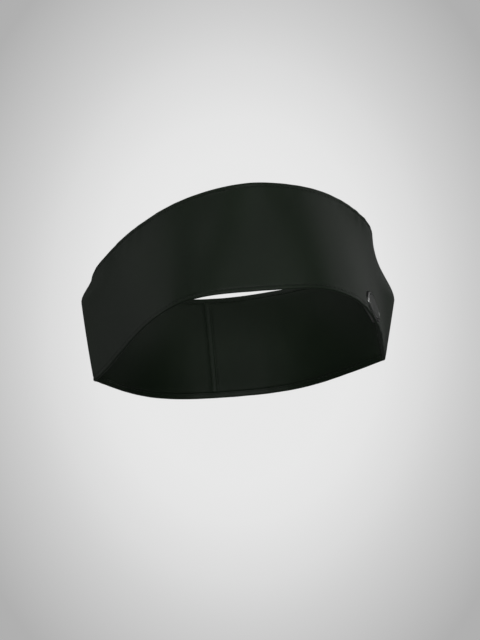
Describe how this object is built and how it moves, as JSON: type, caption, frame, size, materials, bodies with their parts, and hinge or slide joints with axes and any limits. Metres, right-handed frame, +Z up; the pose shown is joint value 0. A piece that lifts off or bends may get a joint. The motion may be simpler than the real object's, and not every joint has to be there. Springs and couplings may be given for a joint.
{
  "type": "sports headband",
  "caption": "Wide stretch-cloth sports headband, open as worn, with turned stitched hems, a stitched back seam and a small oval badge.",
  "frame": {"origin": "on the ground plane under the middle of the bounding box; the lower edge rests on it at the ears", "axes": "+Z up the band's height, -Y the wearer's forehead, +Y the back of the head, +X the wearer's left"},
  "size_m": [0.1628, 0.1866, 0.062],
  "materials": {
    "shell_cloth": "smooth matte stretch knit, near-black green",
    "lining_cloth": "matte knit, slightly darker than the outer cloth",
    "core_towelling": "brushed towelling, hidden between outer cloth and lining",
    "elastic": "woven elastic, hidden in the hems",
    "thread": "tone-on-tone sewing thread",
    "badge_metal": "dark gunmetal, smooth and bright on its edges",
    "badge_face": "blank satin face close to the cloth's colour, no lettering"
  },
  "bodies": {
    "root": {"outer_shell": "shell_cloth", "lining": "lining_cloth", "absorbent_core": "core_towelling", "bottom_hem_elastic": "elastic", "top_hem_elastic": "elastic", "bottom_stitch_outer": "thread", "bottom_stitch_inner": "thread", "top_stitch_outer": "thread", "top_stitch_inner": "thread", "back_seam_tape": "shell_cloth", "back_seam_stitch_left": "thread", "back_seam_stitch_right": "thread", "badge_front": "badge_metal", "badge_face": "badge_face", "badge_back": "badge_metal"}
  },
  "joints": []
}
